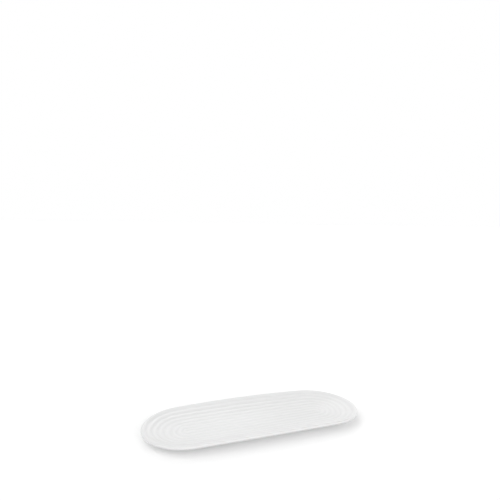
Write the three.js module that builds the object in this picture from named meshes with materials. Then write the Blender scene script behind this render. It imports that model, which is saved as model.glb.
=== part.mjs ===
// Oval serving platter in glazed porcelain: a shallow dish with concentric ripples on a bare foot ring.
// Millimetres, +Z up. The origin is the centre of the foot ring, on the table, and +X runs lengthways.
import * as THREE from "three";

// Plan: two round ends joined by long sides that belly out a little. Each side is one arc, which runs on
// smoothly from the ends.
const LENGTH = 350;
const END_RADIUS = 67;
const SIDE_BOW = 3.1; // how much farther out the middle of a side is than a straight one would be
const SPINE = LENGTH / 2 - END_RADIUS; // half the distance between the centres of the round ends
const SIDE_CENTRE = (SPINE ** 2 - SIDE_BOW ** 2) / (2 * SIDE_BOW); // from the spine to a side arc's centre
const SIDE_RADIUS = SIDE_CENTRE + END_RADIUS + SIDE_BOW;
const SIDE_TURN = Math.atan(SPINE / SIDE_CENTRE); // how far a side's arc turns each way from its middle

// Heights, measured on the bare clay body.
const BODY_THICKNESS = 4.2;
const RECESS_HEIGHT = 2.2; // from the table to the underside at the middle
const DISH_DEPTH = 12.7; // from the floor up to the lip, at the middle of a long side
const END_DROP = 4.1; // how much lower the lip runs at the two ends
const DISH_POWER = 3; // the dish rises with this power of the distance from the spine

// Ripples: waves that follow the plan, from a groove along the spine out to the lip.
const RIPPLES = 8;
const RIPPLE_HEIGHT = 0.7;

// Lip: rounded over from the last ripple to the tip, and under to the underside.
const LIP_ROUND = 1 / 3; // ripples from the tip in to where the rounding starts
const LIP_TOP = 1 - LIP_ROUND / RIPPLES; // that place, as a share of the way from the spine to the tip
const LIP_UNDER = 0.95; // share of that way where the lip runs into the underside
const LIP_TIP_DROP = 1.5; // from where the rounding starts down to the tip

// Foot ring, as shares of the way from the spine to the lip, and heights above the table.
const FOOT = {
  outerTop: 0.56,
  outerLow: 0.543,
  outerFlat: 0.534,
  innerFlat: 0.51,
  innerLow: 0.501,
  innerTop: 0.484,
};
const FOOT_EDGE = 0.6; // height of the bevel along both edges of the flat
const GLAZE_LINE = 1.5; // the foot is wiped bare of glaze below this height
const GLAZE = 0.4; // thickness of the coat

// Facets along each stretch
const END_STEPS = 16;
const SIDE_STEPS = 6;
const RIPPLE_STEPS = 6;
const LIP_STEPS = 8;
const UNDERSIDE_STEPS = 5;
const RECESS_STEPS = 3;
const UPPER_STEPS = (RIPPLES - LIP_ROUND) * RIPPLE_STEPS;
const FOOT_POINTS = 6;

// A station is one upright section of the dish: where it leaves the spine, which way it points, how far it
// reaches to the lip, and how deep the dish is there.
function station(x, dx, dy, reach) {
  const lipX = x + dx * reach;
  const depth = DISH_DEPTH - END_DROP * (lipX / (LENGTH / 2)) ** 2;
  return { x, dx, dy, reach, depth };
}

// Angles are from the direction in which a half of the plan faces: its end, and then its long side.
function endStation(half, angle) {
  return station(half * SPINE, half * Math.cos(angle), half * Math.sin(angle), END_RADIUS);
}

function sideStation(half, angle) {
  const x = SIDE_CENTRE * Math.tan(angle);
  const reach = SIDE_RADIUS - SIDE_CENTRE / Math.cos(angle);
  return station(half * x, half * Math.sin(angle), half * Math.cos(angle), reach);
}

// All the stations, counter-clockwise seen from above. The second half is the first one turned round.
function stationsAround() {
  const endTurn = Math.PI / 2 - SIDE_TURN;
  const found = [];
  for (const half of [1, -1]) {
    for (let k = 0; k <= END_STEPS; k++) {
      found.push(endStation(half, endTurn * ((2 * k) / END_STEPS - 1)));
    }
    for (let k = 1; k < SIDE_STEPS; k++) {
      found.push(sideStation(half, SIDE_TURN * (1 - (2 * k) / SIDE_STEPS)));
    }
  }
  return found;
}

const underside = (s, share) => RECESS_HEIGHT + s.depth * share ** DISH_POWER;
const ripple = (share) => (RIPPLE_HEIGHT / 2) * (1 - Math.cos(2 * Math.PI * RIPPLES * share));
const upperFace = (s, share) => underside(s, share) + BODY_THICKNESS + ripple(share);

const undersideSlope = (s, share) => (DISH_POWER * s.depth * share ** (DISH_POWER - 1)) / s.reach;
const rippleSlope = (s, share) =>
  (Math.PI * RIPPLES * RIPPLE_HEIGHT * Math.sin(2 * Math.PI * RIPPLES * share)) / s.reach;

// The rippled upper face, from the spine out to where the lip's rounding starts.
function upperPoints(s) {
  const points = [];
  for (let k = 0; k <= UPPER_STEPS; k++) {
    const share = k / (RIPPLES * RIPPLE_STEPS);
    points.push({ u: share * s.reach, z: upperFace(s, share) });
  }
  return points;
}

// The rounded lip, in two quarters of an ellipse: from the upper face out to the tip, and from there in
// under the dish. Each leans with the slope of the face it meets, so that it runs on smoothly.
function lipPoints(s) {
  const topLean = undersideSlope(s, LIP_TOP) + rippleSlope(s, LIP_TOP);
  const top = { share: LIP_TOP, z: upperFace(s, LIP_TOP), lean: topLean };
  const under = { share: LIP_UNDER, z: underside(s, LIP_UNDER), lean: undersideSlope(s, LIP_UNDER) };
  const tip = top.z - LIP_TIP_DROP;
  const points = [];
  for (let k = 1; k <= LIP_STEPS; k++) {
    const turn = (Math.PI * k) / LIP_STEPS;
    const met = turn <= Math.PI / 2 ? top : under;
    const run = (1 - met.share) * s.reach;
    const level = tip - met.lean * run;
    const out = run * Math.sin(turn);
    const up = Math.abs(met.z - level) * Math.cos(turn);
    points.push({ u: met.share * s.reach + out, z: level + up + met.lean * out });
  }
  return points;
}

// The smooth underside, from the lip in to the top of the foot ring.
function undersidePoints(s) {
  const points = [];
  for (let k = 1; k <= UNDERSIDE_STEPS; k++) {
    const share = LIP_UNDER + ((FOOT.outerTop - LIP_UNDER) * k) / UNDERSIDE_STEPS;
    points.push({ u: share * s.reach, z: underside(s, share) });
  }
  return points;
}

// A point on a foot wall at the glaze line, between the wall's top and its low edge.
function glazeLinePoint(s, top, low) {
  const height = underside(s, top);
  const way = (height - GLAZE_LINE) / (height - FOOT_EDGE);
  return { u: (top + (low - top) * way) * s.reach, z: GLAZE_LINE };
}

function footPoints(s) {
  return [
    glazeLinePoint(s, FOOT.outerTop, FOOT.outerLow),
    { u: FOOT.outerLow * s.reach, z: FOOT_EDGE },
    { u: FOOT.outerFlat * s.reach, z: 0 },
    { u: FOOT.innerFlat * s.reach, z: 0 },
    { u: FOOT.innerLow * s.reach, z: FOOT_EDGE },
    glazeLinePoint(s, FOOT.innerTop, FOOT.innerLow),
  ];
}

// The recess inside the foot ring, from the foot wall in to the spine.
function recessPoints(s) {
  const points = [];
  for (let k = 0; k <= RECESS_STEPS; k++) {
    const share = FOOT.innerTop * (1 - k / RECESS_STEPS);
    points.push({ u: share * s.reach, z: underside(s, share) });
  }
  return points;
}

// The clay body's whole section, from the spine's top round to the spine's underside. Each point carries its
// place in that order and the outward direction of the surface there.
function bodySection(s) {
  const stretches = [upperPoints, lipPoints, undersidePoints, footPoints, recessPoints];
  const points = stretches.flatMap((pointsOf) => pointsOf(s));
  points.forEach((p, at) => {
    const before = points[Math.max(at - 1, 0)];
    const after = points[Math.min(at + 1, points.length - 1)];
    const run = new THREE.Vector2(after.u - before.u, after.z - before.z).normalize();
    const onSpine = at === 0 || at === points.length - 1;
    p.at = at;
    p.normal = onSpine ? new THREE.Vector2(0, at === 0 ? 1 : -1) : new THREE.Vector2(-run.y, run.x);
  });
  return points;
}

// Places in the body's section where one field of glaze ends and the next begins.
const LIP_TIP = UPPER_STEPS + LIP_STEPS / 2;
const OUTER_GLAZE_LINE = UPPER_STEPS + LIP_STEPS + UNDERSIDE_STEPS + 1;
const INNER_GLAZE_LINE = OUTER_GLAZE_LINE + FOOT_POINTS - 1;
const SECTION_END = INNER_GLAZE_LINE + 1 + RECESS_STEPS;

// A coat of glaze over the section from one place to another: out over the coat, and back along the clay.
function glazeSection(s, from, to) {
  const clay = bodySection(s).slice(from, to + 1);
  const coat = clay.map(({ at, u, z, normal }) => {
    return { at: at - 0.5, u: u + GLAZE * normal.x, z: z + GLAZE * normal.y };
  });
  return [...coat, ...clay.reverse()];
}

// Sweeps a closed section round all the stations into one closed geometry. The stretch of a section on the
// spine has no face, because the two sides of the dish join there. Each four-sided facet is split along the
// same diagonal whichever way the section runs, so that coat and clay share their facets.
function sweep(sectionOf) {
  const rings = stationsAround().map((s) =>
    sectionOf(s).map((p) => ({ ...p, place: new THREE.Vector3(s.x + s.dx * p.u, s.dy * p.u, p.z) })),
  );
  const size = rings[0].length;
  const positions = [];
  const addTriangle = (a, b, c) => {
    const flat = a.distanceTo(b) * b.distanceTo(c) * c.distanceTo(a) < 1e-9;
    if (!flat) positions.push(...a.toArray(), ...b.toArray(), ...c.toArray());
  };
  rings.forEach((ring, i) => {
    const next = rings[(i + 1) % rings.length];
    for (let j = 0; j < size; j++) {
      const k = (j + 1) % size;
      if (ring[j].u + ring[k].u === 0) continue;
      const [a, b, c, d] = [ring[j], ring[k], next[k], next[j]].map((p) => p.place);
      if (ring[k].at >= ring[j].at) {
        addTriangle(a, b, c);
        addTriangle(a, c, d);
      } else {
        addTriangle(a, b, d);
        addTriangle(b, c, d);
      }
    }
  });
  const geometry = new THREE.BufferGeometry();
  geometry.setAttribute("position", new THREE.Float32BufferAttribute(positions, 3));
  geometry.computeVertexNormals();
  return geometry;
}

const BISCUIT = { color: 0xe6e3dc, roughness: 0.75, metalness: 0 };
const WHITE_GLAZE = { color: 0xeeeeee, roughness: 0.15, metalness: 0 };

function piece(name, sectionOf, finish) {
  const mesh = new THREE.Mesh(sweep(sectionOf), new THREE.MeshStandardMaterial(finish));
  mesh.name = name;
  return mesh;
}

const platter = new THREE.Group();
platter.name = "oval_platter";
platter.add(
  piece("porcelain_body", bodySection, BISCUIT),
  piece("upper_glaze", (s) => glazeSection(s, 0, LIP_TIP), WHITE_GLAZE),
  piece("underside_glaze", (s) => glazeSection(s, LIP_TIP, OUTER_GLAZE_LINE), WHITE_GLAZE),
  piece("recess_glaze", (s) => glazeSection(s, INNER_GLAZE_LINE, SECTION_END), WHITE_GLAZE),
);

export default platter;
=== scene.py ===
"""Oval serving platter in white glazed porcelain, with concentric ripples, on a plain white table."""

import math

import bmesh
import bpy
import numpy as np
from mathutils import Matrix, Vector


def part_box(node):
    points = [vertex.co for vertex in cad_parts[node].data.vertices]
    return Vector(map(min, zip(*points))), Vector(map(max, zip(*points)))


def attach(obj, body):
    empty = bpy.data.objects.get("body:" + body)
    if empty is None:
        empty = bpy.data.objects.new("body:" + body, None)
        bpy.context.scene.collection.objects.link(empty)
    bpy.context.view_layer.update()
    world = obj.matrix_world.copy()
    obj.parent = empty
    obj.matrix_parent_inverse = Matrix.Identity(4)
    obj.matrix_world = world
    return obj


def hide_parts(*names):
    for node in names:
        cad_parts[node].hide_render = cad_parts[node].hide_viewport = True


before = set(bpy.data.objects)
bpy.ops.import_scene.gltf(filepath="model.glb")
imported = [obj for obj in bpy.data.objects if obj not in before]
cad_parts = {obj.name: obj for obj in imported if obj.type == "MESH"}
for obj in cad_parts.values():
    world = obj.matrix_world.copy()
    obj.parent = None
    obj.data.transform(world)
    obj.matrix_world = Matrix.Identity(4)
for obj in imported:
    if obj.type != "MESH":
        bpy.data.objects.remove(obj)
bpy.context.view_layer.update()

# Clay body
# One sheet of porcelain clay, pressed over a rippled mould, rounded off along its lip and raised on a foot ring.
# It is fired hard before it is glazed. The tread of the foot stays bare, because it stands on the kiln shelf.

body_low, body_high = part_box("porcelain_body")
LENGTH = body_high.x - body_low.x
END_RADIUS = 0.067
SIDE_BOW = body_high.y - END_RADIUS  # how much farther out the middle of a side is than a straight one would be
SPINE = LENGTH / 2 - END_RADIUS  # half the distance between the centres of the round ends
SIDE_CENTRE = (SPINE**2 - SIDE_BOW**2) / (2 * SIDE_BOW)  # from the spine to the centre of a side's arc
SIDE_RADIUS = SIDE_CENTRE + END_RADIUS + SIDE_BOW
SIDE_TURN = math.atan(SPINE / SIDE_CENTRE)  # how far a side's arc turns each way from its middle

CLAY_THICKNESS = 0.0042
RECESS_HEIGHT = 0.0022  # from the table to the underside at the middle
DISH_DEPTH = 0.0127  # at the middle of a long side
END_DROP = 0.0041  # how much lower the lip runs at the two ends
DISH_POWER = 3  # the dish rises with this power of the distance from the spine
RIPPLES = 8
RIPPLE_HEIGHT = 0.0007

LIP_ROUND = 1 / 3  # ripples from the lip's tip in to where its rounding starts
LIP_TOP = 1 - LIP_ROUND / RIPPLES  # that place, as a share of the way from the spine to the tip
LIP_UNDER = 0.95  # share of that way where the lip runs into the underside
LIP_TIP_DROP = 0.0015

FOOT_OUTER_TOP, FOOT_OUTER_TREAD = 0.56, 0.534  # shares of the same way
FOOT_INNER_TOP, FOOT_INNER_TREAD = 0.484, 0.51
FOOT_FILLET = 0.0016
TREAD_EDGE = 0.0006
RUB_HEIGHT = 0.00015  # the tread is rubbed grey below this height
GLAZE_LINE = 0.0015  # the foot is wiped bare of glaze below this height

END_STEPS = 80
SIDE_STEPS = 32
RIPPLE_STEPS = 12
LIP_STEPS = 32
FIELD_STEPS = 24
WALL_STEPS = 8
CORNER_STEPS = 8
MERGE_DISTANCE = 1e-7
SHARP_ANGLE = math.radians(40)


def stations_around():
    """Upright sections all round the plan: start on the spine, direction, reach to the lip, and dish depth."""
    end = (np.pi / 2 - SIDE_TURN) * np.linspace(-1, 1, END_STEPS + 1)
    side = SIDE_TURN * np.linspace(1, -1, SIDE_STEPS + 1)[1:-1]
    x = np.r_[np.full(end.size, SPINE), SIDE_CENTRE * np.tan(side)]
    dx = np.r_[np.cos(end), np.sin(side)]
    dy = np.r_[np.sin(end), np.cos(side)]
    reach = np.r_[np.full(end.size, END_RADIUS), SIDE_RADIUS - SIDE_CENTRE / np.cos(side)]
    x, dx, dy = (np.r_[half, -half] for half in (x, dx, dy))
    reach = np.r_[reach, reach]
    depth = DISH_DEPTH - END_DROP * ((x + dx * reach) / (LENGTH / 2)) ** 2
    return x, dx, dy, reach, depth


spine_x, out_x, out_y, reach, depth = stations_around()


def underside(share):
    return RECESS_HEIGHT + depth * share**DISH_POWER


def pooling(share):
    """0 on the crests of the ripples and 1 in their grooves, the first of which is along the spine."""
    return 0.5 + 0.5 * np.cos(2 * np.pi * RIPPLES * share)


def upper_face(share):
    return underside(share) + CLAY_THICKNESS + RIPPLE_HEIGHT * (1 - pooling(share))


def at(share, height):
    """A point of the section, at every station: its distances from the spine, and its heights."""
    return np.array([share * reach, height + 0 * reach])


def lip_point(turn):
    """A point round the lip: the upper face at 0, the tip at a quarter turn, the underside at a half turn."""
    on_top = turn <= math.pi / 2
    share = LIP_TOP if on_top else LIP_UNDER
    met = upper_face(share) if on_top else underside(share)
    lean = DISH_POWER * depth * share ** (DISH_POWER - 1) / reach
    if on_top:
        lean = lean + np.pi * RIPPLES * RIPPLE_HEIGHT * np.sin(2 * np.pi * RIPPLES * share) / reach
    run = (1 - share) * reach
    level = upper_face(LIP_TOP) - LIP_TIP_DROP - lean * run
    out = run * math.sin(turn)
    return np.array([share * reach + out, level + abs(met - level) * math.cos(turn) + lean * out])


def rounded(before, corner, after, cut):
    """Points that round off a corner, from a cut's length before it to a cut's length after it."""
    start, end = (corner + cut * (side - corner) / np.hypot(*(side - corner)) for side in (before, after))
    ways = np.linspace(0, 1, CORNER_STEPS + 1)
    return [(1 - way) ** 2 * start + 2 * way * (1 - way) * corner + way**2 * end for way in ways]


def foot_wall(top, tread, field):
    """One wall of the foot, from its fillet with a field of the underside down to the glaze line."""
    fillet = rounded(field, top, tread, FOOT_FILLET)
    line = top + (tread - top) * (top[1] - GLAZE_LINE) / top[1]
    return fillet + [fillet[-1] + (line - fillet[-1]) * way for way in np.linspace(0, 1, WALL_STEPS + 1)[1:]]


def clay_section():
    """The clay's section, from the spine out over the lip and back underneath to the spine. Also gives the places
    in it of the upper face's end, of the lip's tip, and of the glaze lines on the foot's outer and inner wall."""
    outer_top, inner_top = (at(share, underside(share)) for share in (FOOT_OUTER_TOP, FOOT_INNER_TOP))
    outer_tread, inner_tread = at(FOOT_OUTER_TREAD, 0), at(FOOT_INNER_TREAD, 0)
    clear = FOOT_FILLET * 2 / END_RADIUS  # room for a fillet, as a share of the way
    outer_field, inner_field = FOOT_OUTER_TOP + clear, FOOT_INNER_TOP - clear

    upper_steps = round((RIPPLES - LIP_ROUND) * RIPPLE_STEPS)
    points = [at(share, upper_face(share)) for share in np.linspace(0, LIP_TOP, upper_steps + 1)]
    points += [lip_point(turn) for turn in np.linspace(0, np.pi, LIP_STEPS + 1)[1:]]
    points += [at(share, underside(share)) for share in np.linspace(LIP_UNDER, outer_field, FIELD_STEPS)[1:]]
    points += foot_wall(outer_top, outer_tread, points[-1])
    outer_line = len(points) - 1
    points += rounded(outer_top, outer_tread, inner_tread, TREAD_EDGE)
    points += rounded(outer_tread, inner_tread, inner_top, TREAD_EDGE)
    inner_line = len(points)
    points += foot_wall(inner_top, inner_tread, at(inner_field, underside(inner_field)))[::-1]
    points += [at(share, underside(share)) for share in np.linspace(inner_field, 0, FIELD_STEPS)]
    return np.array(points), upper_steps, upper_steps + LIP_STEPS // 2, outer_line, inner_line


section, face_end, lip_tip, outer_line, inner_line = clay_section()


def sweep(name, section, marks=None):
    """One closed mesh from a closed section at every station. The stretch along the spine has no face."""
    u, z = section[:, 0], section[:, 1]
    points, around = u.shape
    places = np.stack([spine_x + out_x * u, out_y * u, z], axis=-1).reshape(-1, 3)
    faces = []
    for j in range(points):
        k = (j + 1) % points
        if u[j].max() + u[k].max() == 0:
            continue
        for i in range(around):
            n = (i + 1) % around
            faces.append((j * around + i, k * around + i, k * around + n, j * around + n))
    mesh = bpy.data.meshes.new(name)
    mesh.from_pydata(places.tolist(), [], faces)
    for mark, values in (marks or {}).items():
        attribute = mesh.attributes.new(mark, "FLOAT", "POINT")
        attribute.data.foreach_set("value", np.repeat(values, around).astype(np.float32))
    work = bmesh.new()
    work.from_mesh(mesh)
    bmesh.ops.remove_doubles(work, verts=work.verts, dist=MERGE_DISTANCE)
    work.to_mesh(mesh)
    work.free()
    mesh.shade_smooth()
    mesh.set_sharp_from_angle(angle=SHARP_ANGLE)
    piece = bpy.data.objects.new(name, mesh)
    bpy.context.scene.collection.objects.link(piece)
    return piece


class Socket:
    """An output in a material's nodes. Python's operators add Math nodes to it, and node() adds any other."""

    def __init__(self, tree, output=None):
        self.tree = tree
        self.output = output

    def node(self, kind, settings=None, inputs=None, output=0):
        made = self.tree.nodes.new(kind)
        for name, value in (settings or {}).items():
            if name == "stops":
                while len(made.color_ramp.elements) < len(value):
                    made.color_ramp.elements.new(0.5)
                for element, (place, colour) in zip(made.color_ramp.elements, value):
                    element.position = place
                    element.color = (*colour, 1)
            else:
                setattr(made, name, value)
        for name, value in (inputs or {}).items():
            if isinstance(value, Socket):
                self.tree.links.new(value.output, made.inputs[name])
            else:
                made.inputs[name].default_value = value
        return Socket(self.tree, made.outputs[output] if made.outputs else None)

    def math(self, operation, first, second=0.0):
        return self.node("ShaderNodeMath", {"operation": operation}, {0: first, 1: second})

    def __add__(self, other):
        return self.math("ADD", self, other)

    def __radd__(self, other):
        return self.math("ADD", other, self)

    def __sub__(self, other):
        return self.math("SUBTRACT", self, other)

    def __rsub__(self, other):
        return self.math("SUBTRACT", other, self)

    def __mul__(self, other):
        return self.math("MULTIPLY", self, other)

    def __rmul__(self, other):
        return self.math("MULTIPLY", other, self)

    def __lt__(self, other):
        return self.math("LESS_THAN", self, other)


def new_material(name):
    material = bpy.data.materials.new(name)
    material.use_nodes = True
    material.node_tree.nodes.clear()
    return material, Socket(material.node_tree)


def biscuit_material():
    """Bare fired porcelain: chalky, slightly warm, finely grained, rubbed grey where the tread meets the table."""
    material, start = new_material("biscuit")
    place = start.node("ShaderNodeTexCoord", output="Object")
    grain = start.node("ShaderNodeTexNoise", {}, {"Vector": place, "Scale": 2600, "Detail": 4, "Roughness": 0.7})
    cloud = start.node("ShaderNodeTexNoise", {}, {"Vector": place, "Scale": 90, "Detail": 3})
    height = start.node("ShaderNodeSeparateXYZ", {}, {"Vector": place}, output="Z")
    tread = height < RUB_HEIGHT
    rub = start.node("ShaderNodeTexNoise", {}, {"Vector": place, "Scale": 420, "Detail": 6, "Roughness": 0.75})
    grey = tread * start.node("ShaderNodeMapRange", {}, {"Value": rub, "From Min": 0.5, "From Max": 0.7})
    tone = grain * 0.5 + cloud * 0.5 - grey * 0.35
    colour = start.node(
        "ShaderNodeValToRGB",
        {"stops": [(0.1, (0.52, 0.50, 0.47)), (0.42, (0.74, 0.71, 0.66)), (0.62, (0.80, 0.78, 0.73))]},
        {"Fac": tone},
    )
    bump = start.node("ShaderNodeBump", {}, {"Height": grain, "Strength": 0.35, "Distance": 0.0002})
    skin = start.node(
        "ShaderNodeBsdfPrincipled",
        {},
        {"Base Color": colour, "Roughness": 0.7 + grain * 0.2, "Normal": bump, "Specular IOR Level": 0.3},
    )
    start.node("ShaderNodeOutputMaterial", {}, {"Surface": skin})
    return material


clay = sweep("clay_body", section)
clay.data.materials.append(biscuit_material())
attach(clay, "root")
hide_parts("porcelain_body")

# Upper glaze
# A white glaze sprayed over the rippled face and out to the tip of the lip, then melted on in the second firing.
# It draws off the crests and the lip while it is molten, pools in the grooves, and sets to a soft gloss.

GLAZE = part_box("upper_glaze")[1].x - body_high.x
THIN_SHARE = 0.75  # of the full coat, on a crest
LIP_RUN = 0.1  # share of the way to the lip over which the coat under the lip comes to its full thickness
BEAD = 0.0009  # length of the rounded edge where the coat was wiped away
SPECK_RADIUS = 0.025  # in cells of the pattern that scatters the specks


def glaze_coat(name, first, last, wiped=None):
    """A coat over the clay's section between two places, closed along the clay, with a bead at a wiped end. Its
    pool mark is 0 on crests and on the lip, where the coat is thin, and 1 where it is thick. The glaze is coloured
    a shade darker where the mark is high, and in the grooves that darkening is painted shade."""
    steps = np.diff(section, axis=0)
    lengths = np.hypot(steps[:, 0], steps[:, 1])
    ways = steps / lengths[:, None]
    turns = np.concatenate([ways[:1], ways[:-1] + ways[1:], ways[-1:]])
    turns /= np.hypot(turns[:, 0], turns[:, 1])[:, None]
    normals = np.stack([-turns[:, 1], turns[:, 0]], axis=1)
    normals[0, 0] = normals[-1, 0] = 0

    share = section[:, 0, 0] / reach[0]
    pool = np.clip((LIP_UNDER - share) / LIP_RUN, 0, 1)
    pool[:face_end + 1] = pooling(share[:face_end + 1])
    pool[face_end:lip_tip + 1] = np.linspace(pooling(LIP_TOP), 0, lip_tip - face_end + 1)
    thickness = np.repeat(GLAZE * (THIN_SHARE + (1 - THIN_SHARE) * pool)[:, None], reach.size, axis=1)
    if wiped is not None:
        along = np.concatenate([np.zeros((1, reach.size)), np.cumsum(lengths, axis=0)])
        thickness *= np.sqrt(1 - (1 - np.clip(abs(along - along[wiped]) / BEAD, 0, 1)) ** 2)

    clay_side = section[first:last + 1]
    face = (section + thickness[:, None] * normals)[first:last + 1]
    pool = pool[first:last + 1]
    return sweep(name, np.concatenate([face, clay_side[::-1]]), {"pool": np.r_[pool, pool[::-1]]})


def glaze_material():
    """White porcelain glaze: a soft gloss, very slightly wavy, with a few specks, and a shade darker where it
    pools;
    in the grooves that darkening is painted shade.
    """
    material, start = new_material("white_glaze")
    place = start.node("ShaderNodeTexCoord", output="Object")
    pool = start.node("ShaderNodeAttribute", {"attribute_name": "pool"}, output="Fac")
    cloud = start.node("ShaderNodeTexNoise", {}, {"Vector": place, "Scale": 22, "Detail": 3})
    cell = start.node("ShaderNodeTexVoronoi", {}, {"Vector": place, "Scale": 110}, output="Distance")
    speck = cell < SPECK_RADIUS
    # Painted shade: the pool mark darkens the glaze in the grooves, where the ripples' shade falls, and darkens the
    # full coat underneath as well.
    tone = pool * 0.5 + cloud * 0.3 + speck * 0.4
    colour = start.node(
        "ShaderNodeValToRGB",
        {"stops": [(0.1, (0.805, 0.805, 0.805)), (0.75, (0.765, 0.765, 0.765)), (1.0, (0.60, 0.58, 0.55))]},
        {"Fac": tone},
    )
    peel = start.node("ShaderNodeTexNoise", {}, {"Vector": place, "Scale": 150, "Detail": 2})
    bump = start.node("ShaderNodeBump", {}, {"Height": peel, "Strength": 0.1, "Distance": 0.0004})
    fine = start.node("ShaderNodeTexNoise", {}, {"Vector": place, "Scale": 700, "Detail": 3})
    skin = start.node(
        "ShaderNodeBsdfPrincipled",
        {},
        {"Base Color": colour, "Roughness": 0.24 + fine * 0.12, "Normal": bump, "IOR": 1.5},
    )
    start.node("ShaderNodeOutputMaterial", {}, {"Surface": skin})
    return material


white_glaze = glaze_material()
upper = glaze_coat("glazed_face", 0, lip_tip)
upper.data.materials.append(white_glaze)
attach(upper, "root")
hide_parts("upper_glaze")

# Underside glaze
# The same glaze on the smooth underside, sprayed with the platter turned over. It meets the upper coat at the
# tip of the lip and stops on the outer wall of the foot ring, where it was wiped away.

under = glaze_coat("glazed_underside", lip_tip, outer_line, wiped=outer_line)
under.data.materials.append(white_glaze)
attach(under, "root")
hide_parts("underside_glaze")

# Recess glaze
# The field of glaze inside the foot ring, sprayed on together with the underside's. The bare tread cuts it off
# from the rest, so it has a wiped edge of its own, on the inner wall of the ring.

recess = glaze_coat("glazed_recess", inner_line, len(section) - 1, wiped=inner_line)
recess.data.materials.append(white_glaze)
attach(recess, "root")
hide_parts("recess_glaze")

# Table
# A plain white surface that runs out of sight, lit evenly, so that only the platter's shadow marks it. It glows a
# little for the camera and in reflections, and so looks white without more light on the platter.

TABLE_HALF = 30.0
TABLE_WHITE = 0.8
TABLE_GLOW = 0.27


def seen_directly(start):
    """1 for rays that show the picture or a reflection of it, 0 for rays that only carry light."""
    ways = [
        start.node("ShaderNodeLightPath", output=way)
        for way in ("Is Camera Ray", "Is Glossy Ray", "Is Transmission Ray")
    ]
    return start.math("MINIMUM", ways[0] + ways[1] + ways[2], 1.0)


def table_material():
    material, start = new_material("white_table")
    plain = start.node("ShaderNodeBsdfDiffuse", {}, {"Color": (TABLE_WHITE, TABLE_WHITE, TABLE_WHITE, 1)})
    glow = start.node("ShaderNodeEmission", {}, {"Strength": TABLE_GLOW})
    bright = start.node("ShaderNodeAddShader", {}, {0: plain, 1: glow})
    surface = start.node("ShaderNodeMixShader", {}, {0: seen_directly(start), 1: plain, 2: bright})
    start.node("ShaderNodeOutputMaterial", {}, {"Surface": surface})
    return material


table_mesh = bpy.data.meshes.new("table")
corners = [(x * TABLE_HALF, y * TABLE_HALF, 0) for x, y in ((-1, -1), (1, -1), (1, 1), (-1, 1))]
table_mesh.from_pydata(corners, [], [(0, 1, 2, 3)])
table_mesh.materials.append(table_material())
table = bpy.data.objects.new("table", table_mesh)
bpy.context.scene.collection.objects.link(table)

# Light
# Even surroundings and four soft lamps: one behind, which draws the ripples, a low weak one at the back right, for
# those of the right end, a broad one on the left, and a low one in front, which lights the lip. The glaze mirrors
# white walls under a dark ceiling and, of the lamps, only the two at the back.

SURROUND = 0.415
WALL_LIGHT = 1.0
CEILING_LIGHT = 0.15
WALL_TOP, CEILING_EDGE = 0.44, 0.62  # sines of the heights between which the walls run over into the ceiling
LAMPS = {  # azimuth from the back towards the right, height and width in degrees, and light on a facing surface
    "back_lamp": (12, 42, 29, 0.12),
    "front_lamp": (162, 15, 60, 0.58),
    "left_lamp": (-90, 45, 72, 0.405),
    "right_lamp": (38, 18, 50, 0.10),
}
MIRRORED_LAMPS = ("back_lamp", "right_lamp")

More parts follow.
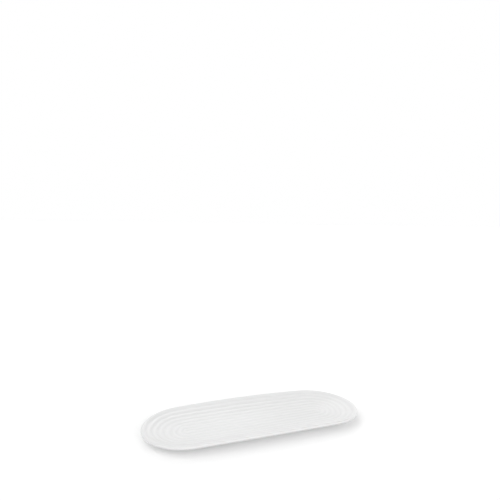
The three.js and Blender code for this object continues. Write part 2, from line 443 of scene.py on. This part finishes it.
world = bpy.data.worlds.new("studio")
world.use_nodes = True
world.node_tree.nodes.clear()
start = Socket(world.node_tree)
direction = start.node("ShaderNodeTexCoord", output="Generated")
upward = start.node("ShaderNodeSeparateXYZ", {}, {"Vector": direction}, output="Z")
above = start.node(
    "ShaderNodeMapRange",
    {"interpolation_type": "SMOOTHSTEP"},
    {"Value": upward, "From Min": WALL_TOP, "From Max": CEILING_EDGE},
)
even = start.node("ShaderNodeBackground", {}, {"Strength": SURROUND, "Color": (1, 1, 1, 1)})
walls = start.node("ShaderNodeBackground", {}, {"Strength": WALL_LIGHT, "Color": (1, 1, 1, 1)})
ceiling = start.node("ShaderNodeBackground", {}, {"Strength": CEILING_LIGHT, "Color": (1, 1, 1, 1)})
seen = start.node("ShaderNodeMixShader", {}, {0: above, 1: walls, 2: ceiling})
sky = start.node("ShaderNodeMixShader", {}, {0: seen_directly(start), 1: even, 2: seen})
start.node("ShaderNodeOutputWorld", {}, {"Surface": sky})
bpy.context.scene.world = world

for name, (azimuth, height, width, share) in LAMPS.items():
    lamp_data = bpy.data.lights.new(name, "SUN")
    lamp_data.energy = share * math.pi
    lamp_data.angle = math.radians(width)
    lamp = bpy.data.objects.new(name, lamp_data)
    lamp.visible_glossy = name in MIRRORED_LAMPS
    lamp.rotation_mode = "XYZ"
    lamp.rotation_euler = (math.radians(height - 90), 0, math.radians(-azimuth))
    bpy.context.scene.collection.objects.link(lamp)

bpy.context.scene.view_settings.view_transform = "Standard"

# Camera
# It stands low in front and to the left of the platter, which lies in the lower half of the picture. Its place
# follows from the distance to the middle of the lip, and from where that middle lies in the picture.

PICTURE = 500
FOCAL_PIXELS = 450
AZIMUTH = math.radians(-21.35)
ELEVATION = math.radians(3.88)
ROLL = math.radians(1.05)
LIP_CENTRE_PIXEL = (255.07, 413.06)
LIP_HEIGHT = 0.0186
DISTANCE = 0.7045

back = Vector((
    math.sin(AZIMUTH) * math.cos(ELEVATION),
    -math.cos(AZIMUTH) * math.cos(ELEVATION),
    math.sin(ELEVATION),
))
turn = (-back).to_track_quat("-Z", "Y").to_matrix() @ Matrix.Rotation(ROLL, 3, "Z")
across, down = ((pixel - PICTURE / 2) / FOCAL_PIXELS * DISTANCE for pixel in LIP_CENTRE_PIXEL)
eye = Vector((0, 0, LIP_HEIGHT)) - turn @ Vector((across, -down, -DISTANCE))

camera_data = bpy.data.cameras.new("camera")
camera_data.sensor_width = 36
camera_data.lens = FOCAL_PIXELS / PICTURE * camera_data.sensor_width
camera = bpy.data.objects.new("camera", camera_data)
camera.location = eye
camera.rotation_mode = "QUATERNION"
camera.rotation_quaternion = turn.to_quaternion()
bpy.context.scene.collection.objects.link(camera)
bpy.context.scene.camera = camera
